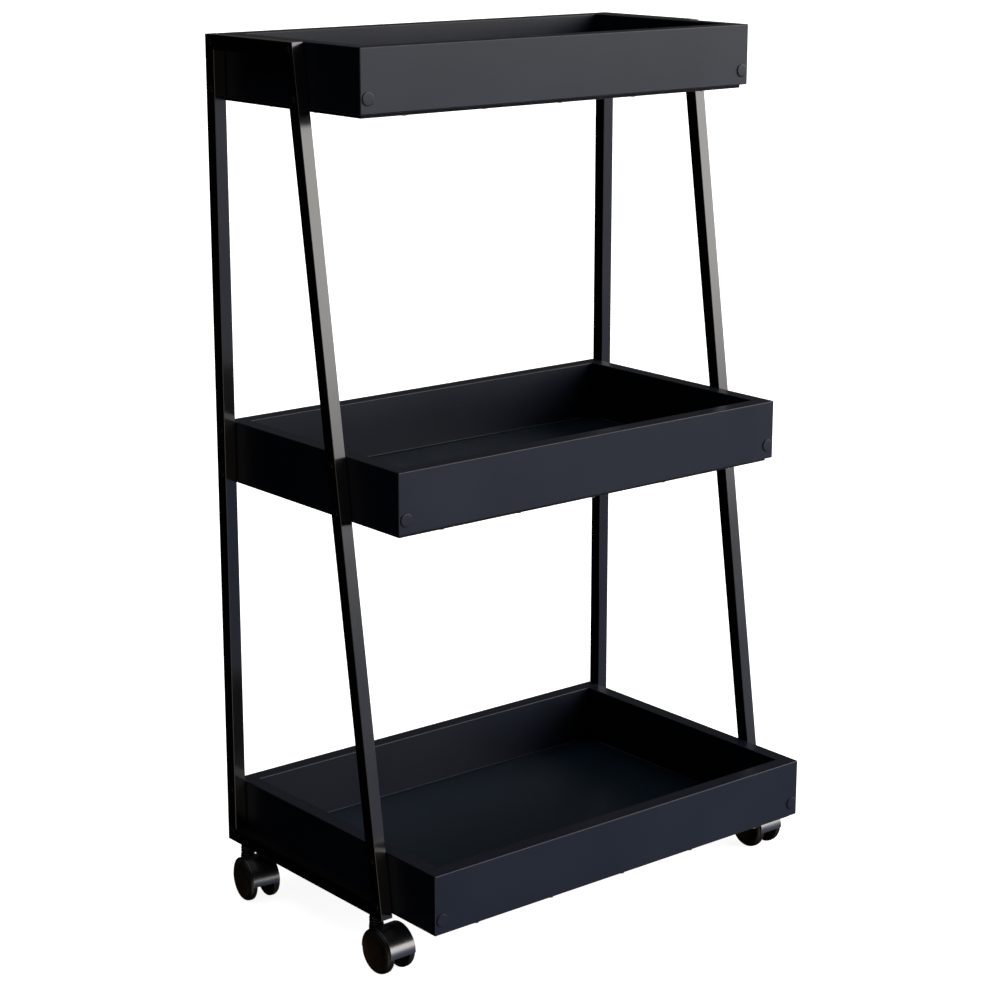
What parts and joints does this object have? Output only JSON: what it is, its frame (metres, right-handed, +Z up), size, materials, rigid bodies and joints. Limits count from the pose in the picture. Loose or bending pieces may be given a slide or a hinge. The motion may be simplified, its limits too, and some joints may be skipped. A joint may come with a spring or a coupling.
{
  "type": "tray trolley",
  "caption": "Tall rolling tray trolley: open board trays that get deeper towards the floor, between slant-legged tube side frames on twin-wheel swivel casters.",
  "frame": {"origin": "on the floor, at the middle of the object's footprint", "axes": "+Z up, the trays' screwed fronts and the slanting legs face -Y, +X to the right seen from the front"},
  "size_m": [0.4918, 0.3046, 0.795],
  "materials": {
    "board": "black melamine-faced board, satin",
    "floor_panel": "thin black hardboard, satin",
    "frame_tube": "black powder coat, semi-gloss",
    "corner_screw": "black round cap, satin",
    "caster_steel": "blackened steel",
    "caster_hood": "gloss black nylon",
    "caster_wheel": "satin black nylon"
  },
  "bodies": {
    "trolley": {"left_rear_post": "frame_tube", "left_top_rail": "frame_tube", "left_front_leg": "frame_tube", "left_bottom_rail": "frame_tube", "right_rear_post": "frame_tube", "right_top_rail": "frame_tube", "right_front_leg": "frame_tube", "right_bottom_rail": "frame_tube", "top_tray_front_wall": "board", "top_tray_back_wall": "board", "top_tray_left_wall": "board", "top_tray_right_wall": "board", "top_tray_floor": "floor_panel", "top_tray_front_left_screw": "corner_screw", "top_tray_front_right_screw": "corner_screw", "top_tray_back_left_screw": "corner_screw", "top_tray_back_right_screw": "corner_screw", "middle_tray_front_wall": "board", "middle_tray_back_wall": "board", "middle_tray_left_wall": "board", "middle_tray_right_wall": "board", "middle_tray_floor": "floor_panel", "middle_tray_front_left_screw": "corner_screw", "middle_tray_front_right_screw": "corner_screw", "middle_tray_back_left_screw": "corner_screw", "middle_tray_back_right_screw": "corner_screw", "bottom_tray_front_wall": "board", "bottom_tray_back_wall": "board", "bottom_tray_left_wall": "board", "bottom_tray_right_wall": "board", "bottom_tray_floor": "floor_panel", "bottom_tray_front_left_screw": "corner_screw", "bottom_tray_front_right_screw": "corner_screw", "bottom_tray_back_left_screw": "corner_screw", "bottom_tray_back_right_screw": "corner_screw", "front_left_caster_insert": "caster_steel", "front_left_caster_stem": "caster_steel", "front_right_caster_insert": "caster_steel", "front_right_caster_stem": "caster_steel", "rear_left_caster_insert": "caster_steel", "rear_left_caster_stem": "caster_steel", "rear_right_caster_insert": "caster_steel", "rear_right_caster_stem": "caster_steel"},
    "front_left_caster_swivel": {"front_left_caster_hood": "caster_hood", "front_left_caster_axle": "caster_steel"},
    "front_left_caster_left_wheel": {"front_left_caster_left_wheel": "caster_wheel"},
    "front_left_caster_right_wheel": {"front_left_caster_right_wheel": "caster_wheel"},
    "front_right_caster_swivel": {"front_right_caster_hood": "caster_hood", "front_right_caster_axle": "caster_steel"},
    "front_right_caster_left_wheel": {"front_right_caster_left_wheel": "caster_wheel"},
    "front_right_caster_right_wheel": {"front_right_caster_right_wheel": "caster_wheel"},
    "rear_left_caster_swivel": {"rear_left_caster_hood": "caster_hood", "rear_left_caster_axle": "caster_steel"},
    "rear_left_caster_left_wheel": {"rear_left_caster_left_wheel": "caster_wheel"},
    "rear_left_caster_right_wheel": {"rear_left_caster_right_wheel": "caster_wheel"},
    "rear_right_caster_swivel": {"rear_right_caster_hood": "caster_hood", "rear_right_caster_axle": "caster_steel"},
    "rear_right_caster_left_wheel": {"rear_right_caster_left_wheel": "caster_wheel"},
    "rear_right_caster_right_wheel": {"rear_right_caster_right_wheel": "caster_wheel"}
  },
  "joints": [
    {"name": "front_left_caster_turn", "type": "hinge", "parent": "trolley", "child": "front_left_caster_swivel", "pos_m": [-0.2263, -0.07495, 0.04], "axis": [0, 0, 1], "continuous": true},
    {"name": "front_left_caster_left_wheel_spin", "type": "hinge", "parent": "front_left_caster_swivel", "child": "front_left_caster_left_wheel", "pos_m": [-0.23685, -0.09223, 0.02], "axis": [0.9997, 0.0262, 0], "continuous": true},
    {"name": "front_left_caster_right_wheel_spin", "type": "hinge", "parent": "front_left_caster_swivel", "child": "front_left_caster_right_wheel", "pos_m": [-0.21486, -0.09166, 0.02], "axis": [0.9997, 0.0262, 0], "continuous": true},
    {"name": "front_right_caster_turn", "type": "hinge", "parent": "trolley", "child": "front_right_caster_swivel", "pos_m": [0.2263, -0.07495, 0.04], "axis": [0, 0, 1], "continuous": true},
    {"name": "front_right_caster_left_wheel_spin", "type": "hinge", "parent": "front_right_caster_swivel", "child": "front_right_caster_left_wheel", "pos_m": [0.2153, -0.09195, 0.02], "axis": [1, 0, 0], "continuous": true},
    {"name": "front_right_caster_right_wheel_spin", "type": "hinge", "parent": "front_right_caster_swivel", "child": "front_right_caster_right_wheel", "pos_m": [0.2373, -0.09195, 0.02], "axis": [1, 0, 0], "continuous": true},
    {"name": "rear_left_caster_turn", "type": "hinge", "parent": "trolley", "child": "rear_left_caster_swivel", "pos_m": [-0.2263, 0.12785, 0.04], "axis": [0, 0, 1], "continuous": true},
    {"name": "rear_left_caster_left_wheel_spin", "type": "hinge", "parent": "rear_left_caster_swivel", "child": "rear_left_caster_left_wheel", "pos_m": [-0.23929, 0.11232, 0.02], "axis": [0.9925, -0.1219, 0], "continuous": true},
    {"name": "rear_left_caster_right_wheel_spin", "type": "hinge", "parent": "rear_left_caster_swivel", "child": "rear_left_caster_right_wheel", "pos_m": [-0.21745, 0.10964, 0.02], "axis": [0.9925, -0.1219, 0], "continuous": true},
    {"name": "rear_right_caster_turn", "type": "hinge", "parent": "trolley", "child": "rear_right_caster_swivel", "pos_m": [0.2263, 0.12785, 0.04], "axis": [0, 0, 1], "continuous": true},
    {"name": "rear_right_caster_left_wheel_spin", "type": "hinge", "parent": "rear_right_caster_swivel", "child": "rear_right_caster_left_wheel", "pos_m": [0.21745, 0.10964, 0.02], "axis": [0.9925, 0.1219, 0], "continuous": true},
    {"name": "rear_right_caster_right_wheel_spin", "type": "hinge", "parent": "rear_right_caster_swivel", "child": "rear_right_caster_right_wheel", "pos_m": [0.23929, 0.11232, 0.02], "axis": [0.9925, 0.1219, 0], "continuous": true}
  ]
}
